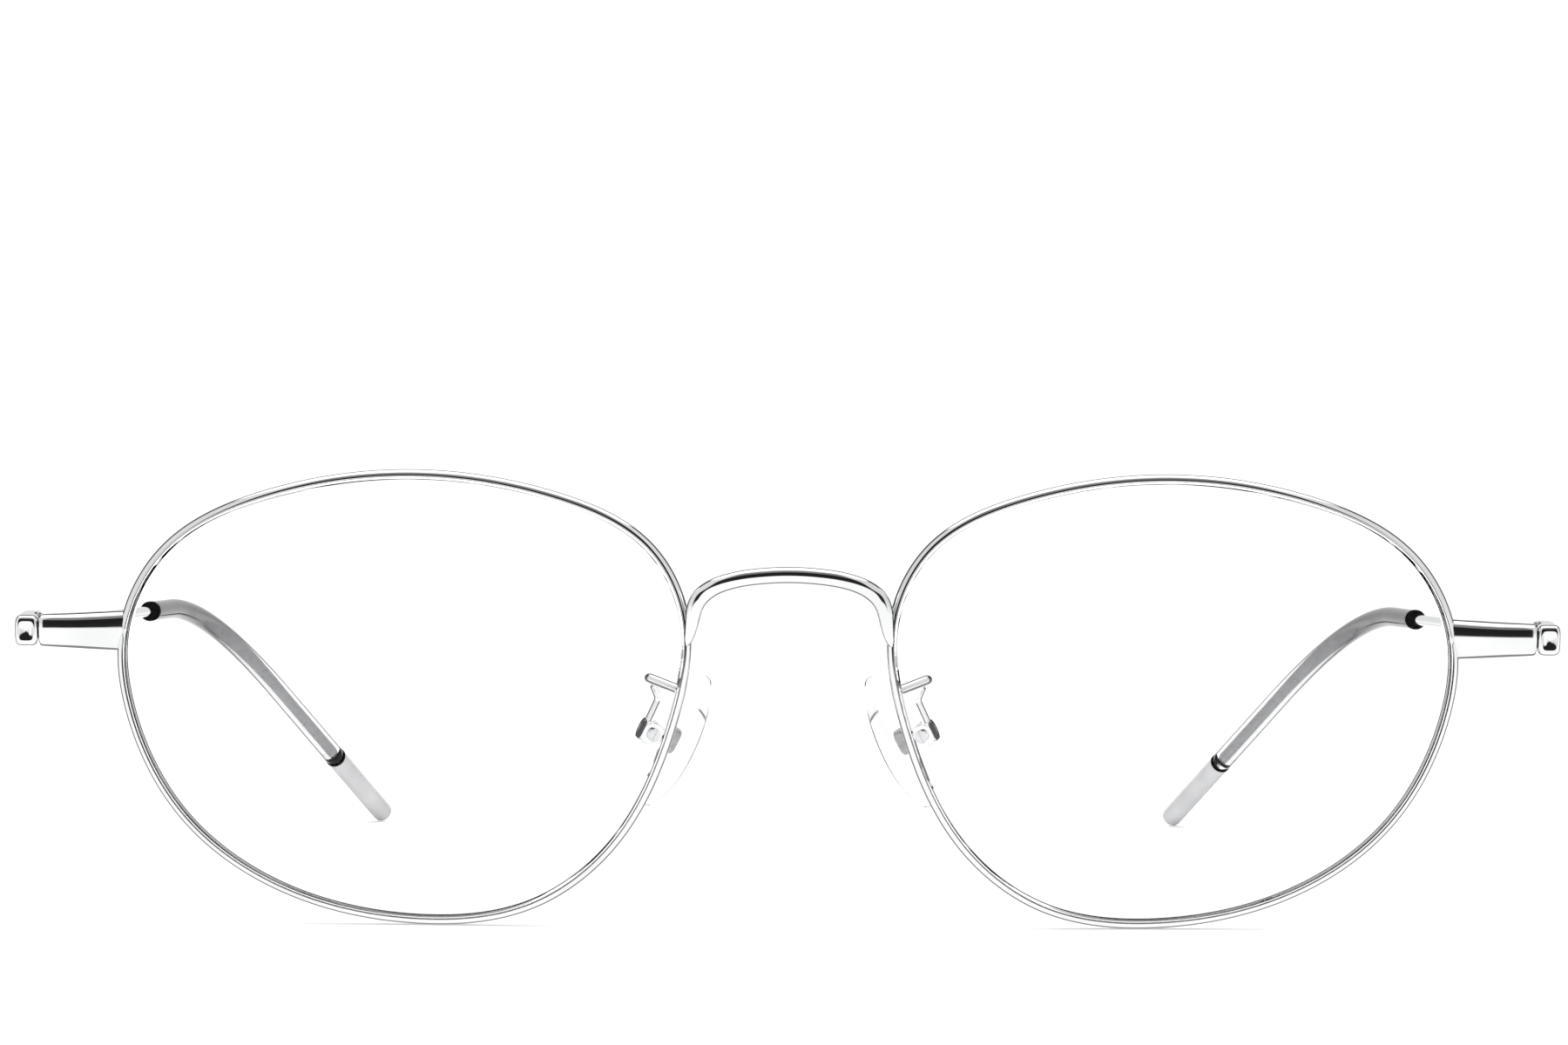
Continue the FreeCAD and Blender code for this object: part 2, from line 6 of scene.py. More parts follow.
import bmesh
import bpy
import numpy as np
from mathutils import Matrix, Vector


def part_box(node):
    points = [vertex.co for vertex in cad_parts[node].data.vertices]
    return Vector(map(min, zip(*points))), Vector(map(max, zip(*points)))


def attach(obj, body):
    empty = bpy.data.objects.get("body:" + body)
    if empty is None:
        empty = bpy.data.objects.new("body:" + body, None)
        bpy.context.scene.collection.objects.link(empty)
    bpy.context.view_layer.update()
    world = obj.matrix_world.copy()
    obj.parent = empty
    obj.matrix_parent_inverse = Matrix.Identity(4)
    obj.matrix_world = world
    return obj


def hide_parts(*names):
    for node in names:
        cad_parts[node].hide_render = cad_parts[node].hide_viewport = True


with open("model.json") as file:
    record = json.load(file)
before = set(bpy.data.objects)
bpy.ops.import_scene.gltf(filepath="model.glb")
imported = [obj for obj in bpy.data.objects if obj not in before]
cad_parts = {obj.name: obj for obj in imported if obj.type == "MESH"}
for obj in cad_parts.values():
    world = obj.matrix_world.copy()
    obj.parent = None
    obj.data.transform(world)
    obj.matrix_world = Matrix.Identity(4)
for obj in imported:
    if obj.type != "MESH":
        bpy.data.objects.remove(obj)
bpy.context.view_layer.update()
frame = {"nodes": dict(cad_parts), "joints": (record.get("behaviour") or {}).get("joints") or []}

MM = 0.001
SIDES = (("right", 1.0), ("left", -1.0))

# ------------------------------------------------------------------ dimensions shared with the frame
RING_X = 35.2
BASE_R = 132.0
WRAP = math.radians(4.0)
WIRE_W = 0.72
WIRE_D = 1.70
GROOVE_DEEP = 0.34
GROOVE_HALF = 0.45
RIM_SPLIT = 0.24
LENS_THICK = 2.0
LENS_GAP = 0.05

LUG_Z = 5.50
LUG_FRONT_Y = 3.5
LUG_BACK_Y = 4.85
HINGE = np.array((67.9, 6.1, LUG_Z))
KNUCKLE_R = 1.05
KNUCKLE_TOP = 0.95
KNUCKLE_MID = 0.45
BLOCK_IN_X = 68.36
BLOCK_OUT_X = 70.50
BLOCK_BEHIND = 2.2
BLOCK_HALF_Z = 1.42

TEMPLE_R = 0.55
TAPER_LONG = 4.5
BEND_R = 68.0
BEND = np.array((64.7, 96.5, 27.2))
TIP = np.array((47.9, 140.5, 0.45))
SLEEVE_FROM = 57.0
SLEEVE_R0 = 1.00
SLEEVE_R1 = 1.20
COLLAR_LONG = 0.8
RING_LONG = 0.7
CAP_R = 1.22
CAP_LONG = 16.0
CAP_DOME = 0.73

PAD_CENTRE = np.array((10.4, 10.0, -5.2))
PAD_LEAN = math.radians(26.0)
PAD_SPLAY = math.radians(25.0)
PAD_THICK = 2.6
PAD_STEM = 2.8
ARM_R = 0.45

OUTLINE = [
    (25.62, 5.5), (21.8, 13.1), (12.7, 18.2), (-0.9, 20.4), (-14.3, 18.4), (-22.5, 13.9), (-25.6, 7.8),
    (-24.5, -2.6), (-19.4, -13.1), (-11.9, -18.9), (-1.3, -20.4), (10.8, -17.8), (19.7, -11.7), (24.9, -2.2),
]
ARM_ROUTE = [(9.5, 1.2, 0.4), (9.8, 3.2, 0.6), (12.9, 6.3, 1.35), (12.5, 8.5, 0.6), (11.9, 9.2, -1.0)]
PAD_OUTLINE = [
    (0.0, 6.75), (2.6, 4.6), (3.75, 0.4), (3.0, -4.3), (0.2, -6.75), (-2.5, -4.6), (-3.5, 0.0), (-2.3, 4.6),
]

hinge_axis = [joint for joint in frame["joints"] if joint["name"] == "temple_fold_right"][0]["axis"]
TILT = math.atan2(-hinge_axis[1], hinge_axis[2])


# ------------------------------------------------------------------ curves

def closed_spline(points, count):
    """Points round a smooth closed curve through the given points, and its tangents."""
    knots = np.array(points, float)
    n = len(knots)
    gaps = np.linalg.norm(np.roll(knots, -1, 0) - knots, axis=1)
    system = np.zeros((n, n))
    right = np.zeros((n, knots.shape[1]))
    for i in range(n):
        before = gaps[i - 1]
        after = gaps[i]
        system[i, i - 1] = before
        system[i, i] = 2 * (before + after)
        system[i, (i + 1) % n] = after
        right[i] = 6 * ((knots[(i + 1) % n] - knots[i]) / after - (knots[i] - knots[i - 1]) / before)
    bend = np.linalg.solve(system, right)
    total = gaps.sum()
    starts = np.concatenate([[0], np.cumsum(gaps)])
    where = np.arange(count) / count * total
    piece = np.clip(np.searchsorted(starts, where, side="right") - 1, 0, n - 1)
    following = (piece + 1) % n
    gap = gaps[piece][:, None]
    t = ((where - starts[piece]) / gaps[piece])[:, None]
    s = 1 - t
    place = s * knots[piece] + t * knots[following]
    place += gap ** 2 / 6 * ((s ** 3 - s) * bend[piece] + (t ** 3 - t) * bend[following])
    slope = (knots[following] - knots[piece]) / gap
    slope += gap / 6 * ((1 - 3 * s ** 2) * bend[piece] + (3 * t ** 2 - 1) * bend[following])
    return place, slope / np.linalg.norm(slope, axis=1)[:, None]


def rounded_route(points, bend_r, step):
    """Straight runs joined by tangent arcs, sampled every step or closer on the arcs."""
    points = [np.array(p, float) for p in points]
    route = [points[0]]

    def run_to(end):
        start = route[-1]
        count = max(1, int(np.linalg.norm(end - start) / step))
        for i in range(1, count + 1):
            route.append(start + (end - start) * i / count)

    for before, corner, after in zip(points, points[1:], points[2:]):
        into = (corner - before) / np.linalg.norm(corner - before)
        out = (after - corner) / np.linalg.norm(after - corner)
        angle = math.acos(np.clip(into @ out, -1, 1))
        back = bend_r * math.tan(angle / 2)
        run_to(corner - into * back)
        inward = (out - into) / np.linalg.norm(out - into)
        centre = corner + inward * bend_r / math.cos(angle / 2)
        side = (corner - into * back - centre) / bend_r
        count = max(8, int(bend_r * angle / step))
        for i in range(1, count + 1):
            turn = angle * i / count
            route.append(centre + bend_r * (side * math.cos(turn) + into * math.sin(turn)))
    run_to(points[-1])
    return np.array(route)


def smooth_run(points, count):
    """Evenly spread points on a smooth open curve through the given rows of numbers."""
    knots = np.array(points, float)
    knots = np.concatenate([[2 * knots[0] - knots[1]], knots, [2 * knots[-1] - knots[-2]]])
    where = np.linspace(0, len(knots) - 3, count)
    i = np.minimum(where.astype(int), len(knots) - 4)
    t = (where - i)[:, None]
    a, b, c, d = knots[i], knots[i + 1], knots[i + 2], knots[i + 3]
    square = (2 * a - 5 * b + 4 * c - d) * t ** 2
    cube = (3 * b - a - 3 * c + d) * t ** 3
    return 0.5 * (2 * b + (c - a) * t + square + cube)


def lengths(route):
    return np.concatenate([[0], np.cumsum(np.linalg.norm(np.diff(route, axis=0), axis=1))])


def carried_frames(route, up):
    """Tangents and two cross directions that turn as little as possible along a route."""
    tangent = np.gradient(route, axis=0)
    tangent /= np.linalg.norm(tangent, axis=1)[:, None]
    side = []
    last = np.array(up, float)
    for t in tangent:
        last = last - t * (last @ t)
        last = last / np.linalg.norm(last)
        side.append(last)
    side = np.array(side)
    return tangent, side, np.cross(tangent, side)


# ------------------------------------------------------------------ meshes

def loft(rings, closed_along=False, cap_start=True, cap_end=True):
    """Vertices and faces of a skin over rings of points that all have the same count."""
    rings = np.array(rings)
    rows, cols, _ = rings.shape
    faces = []
    last = rows if closed_along else rows - 1
    for i in range(last):
        a = i * cols
        b = ((i + 1) % rows) * cols
        for j in range(cols):
            k = (j + 1) % cols
            faces.append((a + j, a + k, b + k, b + j))
    if not closed_along and cap_start:
        faces.append(tuple(range(cols - 1, -1, -1)))
    if not closed_along and cap_end:
        faces.append(tuple(range((rows - 1) * cols, rows * cols)))
    return rings.reshape(-1, 3), faces


def join(parts):
    """One mesh out of several (vertices, faces) pairs."""
    verts = []
    faces = []
    count = 0
    for v, f in parts:
        verts.append(np.array(v, float))
        faces += [tuple(i + count for i in face) for face in f]
        count += len(v)
    return np.concatenate(verts), faces


def circle(radius, count=24, flatten=1.0):
    turn = np.arange(count) / count * 2 * math.pi
    return np.stack([radius * np.cos(turn), radius * flatten * np.sin(turn)], axis=1)


def rounded_oblong(half_a, half_b, power, count=40):
    """A superellipse: an ellipse at power 2, squarer above that."""
    turn = (np.arange(count) + 0.5) / count * 2 * math.pi
    a = np.sign(np.cos(turn)) * np.abs(np.cos(turn)) ** (2 / power) * half_a
    b = np.sign(np.sin(turn)) * np.abs(np.sin(turn)) ** (2 / power) * half_b
    return np.stack([a, b], axis=1)


def cushion(low, high, axis=2, power=5.0, edge=0.2, rows=5):
    """A block with rounded edges: oblong sections along an axis, drawn in at both ends."""
    low = np.array(low, float)
    high = np.array(high, float)
    a, b = [i for i in range(3) if i != axis]
    half = (high - low) / 2
    turns = [math.pi / 2 * (1 - i / rows) for i in range(rows + 1)]
    steps = [(low[axis] + edge * (1 - math.sin(t)), edge * (1 - math.cos(t))) for t in turns]
    steps += [(high[axis] + low[axis] - at, inset) for at, inset in reversed(steps)]
    rings = []
    for at, inset in steps:
        section = rounded_oblong(half[a] - inset, half[b] - inset, power)
        ring = np.zeros((len(section), 3))
        ring[:, a] = (low[a] + high[a]) / 2 + section[:, 0]
        ring[:, b] = (low[b] + high[b]) / 2 + section[:, 1]
        ring[:, axis] = at
        rings.append(ring)
    return loft(rings)


def barrel(centre, low, high, radius, edge=0.07):
    """An upright cylinder between two heights, its edges just broken."""
    rings = []
    for at, r in ((low, radius - edge), (low + edge * 0.3, radius - edge * 0.3), (low + edge, radius),
                  (high - edge, radius), (high - edge * 0.3, radius - edge * 0.3), (high, radius - edge)):
        ring = circle(r, 40)
        height = np.full(len(ring), centre[2] + at)
        rings.append(np.column_stack([centre[0] + ring[:, 0], centre[1] + ring[:, 1], height]))
    return loft(rings)


def swept(route, sections, up=(0, 0, 1)):
    """Rings of a bar: sections is one (m, 2) outline, or one for each point of the route."""
    _, side, other = carried_frames(route, up)
    sections = np.array(sections, float)
    if sections.ndim == 2:
        sections = np.repeat(sections[None], len(route), axis=0)
    return route[:, None] + side[:, None] * sections[:, :, :1] + other[:, None] * sections[:, :, 1:]


def domed_rod(start, end, radius, dome, count=32, rows=8):
    """A round bar whose far end is domed over its last dome millimetres."""
    start = np.array(start, float)
    end = np.array(end, float)
    heading = (end - start) / np.linalg.norm(end - start)
    long = np.linalg.norm(end - start)
    route = [start, start + heading * 0.12]
    radii = [radius - 0.12, radius]
    for at in np.linspace(0.3, long - dome, 12):
        route.append(start + heading * at)
        radii.append(radius)
    for i in range(1, rows + 1):
        turn = math.pi / 2 * i / rows
        route.append(start + heading * (long - dome + dome * math.sin(turn)))
        radii.append(max(radius * math.cos(turn), 0.02))
    sections = [circle(r, count) for r in radii]
    side = np.cross(heading, (0, 0, 1.0))
    side /= np.linalg.norm(side)
    other = np.cross(heading, side)
    rings = [p + np.outer(s[:, 0], side) + np.outer(s[:, 1], other) for p, s in zip(route, sections)]
    return loft(rings)


def to_world(points):
    """From the upright front frame to the row frame: leaned back, lifted and centred."""
    points = np.array(points, float)
    y = points[..., 1] * math.cos(TILT) - points[..., 2] * math.sin(TILT)
    z = points[..., 1] * math.sin(TILT) + points[..., 2] * math.cos(TILT)
    return np.stack([points[..., 0], y, z], axis=-1) + SHIFT


def mirrored(verts, faces, sign):
    if sign > 0:
        return verts, faces
    return verts * np.array((-1.0, 1.0, 1.0)), [tuple(reversed(face)) for face in faces]


def piece(name, geometry, body, slot, material, replaces=(), sharp=35.0):
    """A shown piece: its mesh in metres, smooth except across sharp edges, riding on a body."""
    verts, faces = geometry
    mesh = bpy.data.meshes.new(name)
    mesh.from_pydata((np.array(verts) * MM).tolist(), [], [list(face) for face in faces])
    mesh.validate()
    mesh.update()
    tidy = bmesh.new()
    tidy.from_mesh(mesh)
    bmesh.ops.recalc_face_normals(tidy, faces=tidy.faces)
    tidy.to_mesh(mesh)
    tidy.free()
    mesh.polygons.foreach_set("use_smooth", [True] * len(mesh.polygons))
    mesh.set_sharp_from_angle(angle=math.radians(sharp))
    obj = bpy.data.objects.new(name, mesh)
    bpy.context.scene.collection.objects.link(obj)
    mesh.materials.append(material)
    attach(obj, body)
    if replaces:
        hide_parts(*replaces)
    return obj


# ------------------------------------------------------------------ materials

def shader(name, **settings):
    material = bpy.data.materials.new(name)
    material.use_nodes = True
    bsdf = material.node_tree.nodes["Principled BSDF"]
    for key, value in settings.items():
        bsdf.inputs[key].default_value = value
    return material, material.node_tree.nodes, material.node_tree.links, bsdf


def noise(nodes, links, scale, detail=3.0, stretch=(1, 1, 1)):
    place = nodes.new("ShaderNodeTexCoord")
    mapping = nodes.new("ShaderNodeMapping")
    mapping.inputs["Scale"].default_value = stretch
    texture = nodes.new("ShaderNodeTexNoise")
    texture.inputs["Scale"].default_value = scale
    texture.inputs["Detail"].default_value = detail
    links.new(place.outputs["Object"], mapping.inputs["Vector"])
    links.new(mapping.outputs["Vector"], texture.inputs["Vector"])
    return texture.outputs["Fac"]


def spread(nodes, links, source, low, high):
    """Maps 0.3..0.7 of a noise to low..high."""
    remap = nodes.new("ShaderNodeMapRange")
    remap.inputs["From Min"].default_value = 0.3
    remap.inputs["From Max"].default_value = 0.7
    remap.inputs["To Min"].default_value = low
    remap.inputs["To Max"].default_value = high
    links.new(source, remap.inputs["Value"])
    return remap.outputs["Result"]


def tint(nodes, links, source, dark, light):
    ramp = nodes.new("ShaderNodeValToRGB")
    ramp.color_ramp.elements[0].position = 0.35
    ramp.color_ramp.elements[0].color = (*dark, 1)
    ramp.color_ramp.elements[1].position = 0.65
    ramp.color_ramp.elements[1].color = (*light, 1)
    links.new(source, ramp.inputs["Fac"])
    return ramp.outputs["Color"]


def bump(nodes, links, bsdf, height, strength, distance):
    node = nodes.new("ShaderNodeBump")
    node.inputs["Strength"].default_value = strength
    node.inputs["Distance"].default_value = distance
    links.new(height, node.inputs["Height"])
    links.new(node.outputs["Normal"], bsdf.inputs["Normal"])


def painted_edge_shade(nodes, links, bsdf, colour, edge, start, stop):
    """Paints the base colour of a clear moulding near black where it is seen nearly edge on: painted shade
    standing in for the dark outlines of its rounded sides.
    """
    weight = nodes.new("ShaderNodeLayerWeight")
    weight.inputs["Blend"].default_value = 0.5
    ramp = nodes.new("ShaderNodeMapRange")
    ramp.interpolation_type = "SMOOTHSTEP"
    ramp.inputs["From Min"].default_value = start
    ramp.inputs["From Max"].default_value = stop
    links.new(weight.outputs["Facing"], ramp.inputs["Value"])
    mix = nodes.new("ShaderNodeMix")
    mix.data_type = "RGBA"
    links.new(ramp.outputs["Result"], mix.inputs["Factor"])
    links.new(colour, mix.inputs["A"])
    mix.inputs["B"].default_value = (*edge, 1)
    links.new(mix.outputs["Result"], bsdf.inputs["Base Color"])


def polished_metal():
    """Bright plated wire: mirror polish with faint handling marks and a slightly uneven tone."""
    material, nodes, links, bsdf = shader("polished_silver", Metallic=1.0)
    marks = noise(nodes, links, 900, 4)
    tone = noise(nodes, links, 120, 2)
    links.new(tint(nodes, links, tone, (0.84, 0.845, 0.85), (0.93, 0.93, 0.93)), bsdf.inputs["Base Color"])
    links.new(spread(nodes, links, marks, 0.02, 0.09), bsdf.inputs["Roughness"])
    bump(nodes, links, bsdf, marks, 0.05, 0.00002)
    return material


def turned_steel():
    """Screws: duller steel with fine rings left by the lathe."""
    material, nodes, links, bsdf = shader("turned_steel", Metallic=1.0)
    grain = noise(nodes, links, 2500, 2, (1, 1, 6))
    tone = noise(nodes, links, 700, 3)
    links.new(tint(nodes, links, tone, (0.62, 0.63, 0.65), (0.80, 0.80, 0.81)), bsdf.inputs["Base Color"])
    links.new(spread(nodes, links, grain, 0.14, 0.32), bsdf.inputs["Roughness"])
    bump(nodes, links, bsdf, grain, 0.15, 0.00002)
    return material


def satin_metal():
    """The flattened core in the sleeve and the insert in the pad: grey, brushed along its length."""
    material, nodes, links, bsdf = shader("satin_core", Metallic=1.0)
    grain = noise(nodes, links, 1500, 3, (1, 0.1, 1))
    links.new(tint(nodes, links, grain, (0.32, 0.32, 0.33), (0.40, 0.40, 0.41)), bsdf.inputs["Base Color"])
    links.new(spread(nodes, links, grain, 0.25, 0.42), bsdf.inputs["Roughness"])
    return material


def lens_glass():
    """The lenses: clear, and coated so that they hardly reflect."""
    material, nodes, links, bsdf = shader("lens_clear")
    bsdf.inputs["Transmission Weight"].default_value = 1.0
    bsdf.inputs["IOR"].default_value = 1.50
    bsdf.inputs["Specular IOR Level"].default_value = 0.05
    bsdf.inputs["Specular Tint"].default_value = (0.10, 0.10, 0.10, 1)
    haze = noise(nodes, links, 60, 3)
    links.new(spread(nodes, links, haze, 0.0, 0.012), bsdf.inputs["Roughness"])
    links.new(tint(nodes, links, haze, (0.992, 0.996, 0.996), (1.0, 1.0, 1.0)), bsdf.inputs["Base Color"])
    return material


def clear_plastic():
    """The sleeve: glossy clear tube with faint flow lines along it."""
    material, nodes, links, bsdf = shader("sleeve_clear")
    bsdf.inputs["Transmission Weight"].default_value = 1.0
    bsdf.inputs["IOR"].default_value = 1.42
    flow = noise(nodes, links, 500, 2, (1, 0.15, 1))
    links.new(spread(nodes, links, flow, 0.01, 0.07), bsdf.inputs["Roughness"])
    colour = tint(nodes, links, flow, (0.94, 0.945, 0.95), (0.99, 0.99, 0.99))
    # painted shade: the sleeve's base colour turns near black along its edges where it is seen edge on
    painted_edge_shade(nodes, links, bsdf, colour, (0.02, 0.02, 0.022), 0.63, 0.76)
    bump(nodes, links, bsdf, flow, 0.08, 0.00003)
    return material


def clear_silicone():
    """The nose pads: soft clear silicone, a little hazy, with a very fine moulded texture."""
    material, nodes, links, bsdf = shader("silicone_clear")
    bsdf.inputs["Transmission Weight"].default_value = 1.0
    bsdf.inputs["IOR"].default_value = 1.16
    haze = noise(nodes, links, 400, 4)
    skin = noise(nodes, links, 3000, 2)
    links.new(spread(nodes, links, haze, 0.02, 0.10), bsdf.inputs["Roughness"])
    links.new(tint(nodes, links, haze, (0.975, 0.98, 0.982), (1.0, 1.0, 1.0)), bsdf.inputs["Base Color"])
    bump(nodes, links, bsdf, skin, 0.04, 0.00002)
    return material


# Near black and without gloss: partly the dark collar and band themselves, partly painted shade for the
# shadowed opening at the sleeve's mouth and the joint before the cap.
def black_ring_and_painted_shade():
    material, nodes, links, bsdf = shader("dark_ring")
    skin = noise(nodes, links, 2200, 4)
    bsdf.inputs["Specular IOR Level"].default_value = 0.0
    links.new(tint(nodes, links, skin, (0.001,) * 3, (0.003,) * 3), bsdf.inputs["Base Color"])
    links.new(spread(nodes, links, skin, 0.22, 0.40), bsdf.inputs["Roughness"])
    bump(nodes, links, bsdf, skin, 0.10, 0.00002)
    return material


def frosted_tip():
    material, nodes, links, bsdf = shader("tip_frosted")
    speck = noise(nodes, links, 1800, 5)
    cloud = noise(nodes, links, 250, 2)
    bsdf.inputs["Coat Weight"].default_value = 1.0
    bsdf.inputs["Coat Roughness"].default_value = 0.12
    links.new(tint(nodes, links, cloud, (0.56, 0.56, 0.57), (0.64, 0.64, 0.65)), bsdf.inputs["Base Color"])
    links.new(spread(nodes, links, speck, 0.30, 0.50), bsdf.inputs["Roughness"])
    bsdf.inputs["Subsurface Weight"].default_value = 0.15
    bsdf.inputs["Subsurface Radius"].default_value = (0.001, 0.001, 0.001)
    bump(nodes, links, bsdf, speck, 0.12, 0.00002)
    return material


CHROME = polished_metal()
STEEL = turned_steel()
SATIN = satin_metal()
LENS = lens_glass()
SLEEVE = clear_plastic()
SILICONE = clear_silicone()
DARK = black_ring_and_painted_shade()
FROSTED = frosted_tip()


# ------------------------------------------------------------------ rims and lenses

STATIONS = 480
RIM_PLACES, RIM_TANGENTS = closed_spline(OUTLINE, STATIONS)


def rim_rings(profile, places=None):
    """Points beside the rim's centreline for each (outward, depth) of a profile, in the front frame."""
    index = np.arange(STATIONS) if places is None else places
    rings = np.zeros((len(index), len(profile), 3))
    for j, (outward, depth) in enumerate(profile):
        u = RIM_PLACES[index, 0] + RIM_TANGENTS[index, 1] * outward
        v = RIM_PLACES[index, 1] - RIM_TANGENTS[index, 0] * outward
        sag = BASE_R - np.sqrt(BASE_R ** 2 - u ** 2 - v ** 2)
        on_base = np.stack([u, sag, v], axis=1)
        inward = np.stack([-u, BASE_R - sag, -v], axis=1) / BASE_R
        rings[:, j] = on_base + inward * depth
    return wrap(rings)


def wrap(points):
    x = points[..., 0] * math.cos(WRAP) - points[..., 1] * math.sin(WRAP)
    y = points[..., 0] * math.sin(WRAP) + points[..., 1] * math.cos(WRAP)
    return np.stack([x + RING_X, y, points[..., 2]], axis=-1)


def rim_profile():
    """Cross-section of the eyewire: crowned towards its outer side, with a V groove inside."""
    half_w = WIRE_W / 2
    half_d = WIRE_D / 2
    inner_round = 0.10
    crown_wide = 2 * half_w - inner_round - 0.02
    crown_deep = 0.60
    points = [(GROOVE_DEEP - half_w, 0.0), (-half_w + 0.02, GROOVE_HALF - 0.03)]
    points.append((-half_w, GROOVE_HALF + 0.04))
    for i in range(6):
        turn = math.pi / 2 * i / 6
        across = -half_w + inner_round * (1 - math.cos(turn))
        points.append((across, half_d - inner_round * (1 - math.sin(turn))))
    for i in range(15):
        turn = math.pi / 2 * i / 14
        across = -half_w + inner_round + crown_wide * math.sin(turn)
        points.append((across, half_d - crown_deep * (1 - math.cos(turn))))
    return points + [(across, -depth) for across, depth in reversed(points[1:])]


def make_rim(sign):
    along = lengths(np.concatenate([RIM_PLACES, RIM_PLACES[:1]]))
    half = RIM_SPLIT / 2
    keep = np.nonzero((along[:-1] > half) & (along[:-1] < along[-1] - half))[0]
    geometry = loft(to_world(rim_rings(rim_profile(), keep)))
    return mirrored(*geometry, sign)


def make_lens(sign):
    inner = -WIRE_W / 2
    apex = inner + GROOVE_DEEP - LENS_GAP - 0.02
    flat = inner - LENS_GAP - 0.02
    ridge = (apex - flat) * GROOVE_HALF / GROOVE_DEEP
    half = LENS_THICK / 2
    safety = 0.12
    rim = rim_rings([
        (flat - safety, -half), (flat, -half + safety), (flat, -ridge), (apex, 0.0),
        (flat, ridge), (flat, half - safety), (flat - safety, half),
    ])
    centre = wrap(np.array([[0.0, BASE_R, 0.0]]))[0]

    def cap(edge, radius):
        rows = []
        middle = np.array((RING_X, 0.0, 0.0))
        for share in (0.985, 0.95, 0.88, 0.76, 0.62, 0.47, 0.32, 0.17, 0.05):
            flatly = middle + (edge - middle) * share
            across = flatly - centre
            depth = np.sqrt(radius ** 2 - across[:, 0] ** 2 - across[:, 2] ** 2)
            flatly[:, 1] = centre[1] - depth
            rows.append(flatly)
        return rows

    rings = list(reversed(cap(rim[:, 0], BASE_R + half)))
    rings += [rim[:, j] for j in range(rim.shape[1])]
    rings += cap(rim[:, -1], BASE_R - half)
    return mirrored(*loft(to_world(np.array(rings))), sign)


# Where the front sits: its rim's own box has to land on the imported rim's box
SHIFT = np.zeros(3)
low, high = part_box("rim_right")
own = to_world(rim_rings(rim_profile())).reshape(-1, 3)
SHIFT = (np.array(low) + np.array(high)) / 2 / MM - (own.min(0) + own.max(0)) / 2
SHIFT[0] = 0.0

for side, sign in SIDES:
    piece("eyewire_" + side, make_rim(sign), "front", "chrome", CHROME, ["rim_" + side])
    lens = piece("clear_lens_" + side, make_lens(sign), "front", "clear_lens", LENS, ["lens_" + side], 25.0)
    lens.visible_shadow = False


# ------------------------------------------------------------------ bridge

# From its middle out to the foot of a leg: upper edge x, z, lower edge x, z, depth and middle y
BRIDGE_ROWS = [
    (0.0, 12.40, 0.0, 10.90, 1.40, -0.85),
    (2.4, 12.28, 2.35, 10.78, 1.40, -0.78),
    (4.7, 11.95, 4.5, 10.45, 1.40, -0.57),
    (6.8, 11.30, 6.2, 9.88, 1.40, -0.26),
    (8.2, 10.45, 7.25, 9.15, 1.35, -0.02),
    (8.95, 9.55, 7.75, 8.45, 1.30, 0.02),
    (9.3, 8.55, 8.0, 7.70, 1.22, 0.05),
    (9.4, 7.45, 8.2, 6.90, 1.12, 0.07),
    (9.45, 6.45, 8.45, 6.10, 1.00, 0.08),
    (9.5, 5.60, 8.78, 5.40, 0.80, 0.10),
    (9.45, 5.15, 9.10, 5.05, 0.50, 0.15),
]


def make_bridge():
    """An arched bar, rounded front and back, whose legs taper down along the rims."""
    flip = np.array((-1, 1, -1, 1, 1, 1.0))
    rows = np.array(BRIDGE_ROWS)
    run = smooth_run(np.concatenate([rows[:0:-1] * flip, rows]), 181)
    section = rounded_oblong(1.0, 1.0, 2.3, 48)
    rings = []
    for top_x, top_z, low_x, low_z, depth, middle in run:
        up = np.array((top_x - low_x, 0.0, top_z - low_z)) / 2
        centre = np.array(((top_x + low_x) / 2, middle, (top_z + low_z) / 2))
        rings.append(centre + section[:, :1] * np.array((0.0, depth / 2, 0.0)) + section[:, 1:] * up)
    return loft(to_world(np.array(rings)))


piece("arched_bridge", make_bridge(), "front", "chrome", CHROME, ["bridge"])


# ------------------------------------------------------------------ lugs, hinges and front blocks

# Along x: where, front face y, half height
LUG_ROWS = [
    (60.62, 3.55, 1.84), (61.4, 3.48, 1.81), (63.0, 3.38, 1.74), (65.0, 3.38, 1.64),
    (66.8, 3.55, 1.55), (67.7, 3.68, 1.50), (68.1, 3.78, 1.46), (68.26, 3.92, 1.36), (68.3, 4.12, 1.20),
]
# Round the section: share of the depth behind the front face, share of the half height
LUG_SECTION = [
    (1.00, 0.0), (1.00, 0.45), (1.00, 0.86), (0.90, 0.985), (0.70, 1.0), (0.42, 0.96),
    (0.19, 0.84), (0.06, 0.65), (0.01, 0.42), (0.0, 0.14), (0.03, -0.12), (0.12, -0.42),
    (0.29, -0.72), (0.53, -0.92), (0.76, -0.99), (0.92, -0.97), (1.00, -0.86), (1.00, -0.45),
]


def make_lug(sign):
    """The endpiece: a tapering plate with a softly faceted face, and the two outer hinge knuckles."""
    section, _ = closed_spline(LUG_SECTION, 72)
    rings = []
    for x, front, half in smooth_run(LUG_ROWS, 49):
        y = front + section[:, 0] * (LUG_BACK_Y - front)
        rings.append(np.column_stack([np.full(len(section), x), y, LUG_Z + section[:, 1] * half]))
    parts = [loft(rings)]
    play = 0.05
    for low, high in ((-KNUCKLE_TOP, -KNUCKLE_MID - play), (KNUCKLE_MID + play, KNUCKLE_TOP)):
        parts.append(barrel(HINGE, low, high, KNUCKLE_R))
        web_low = (HINGE[0] - 0.95, LUG_BACK_Y - 0.25, LUG_Z + low)
        parts.append(cushion(web_low, (HINGE[0] + 0.38, HINGE[1], LUG_Z + high), edge=0.06))
    verts, faces = join(parts)
    return mirrored(to_world(verts), faces, sign)


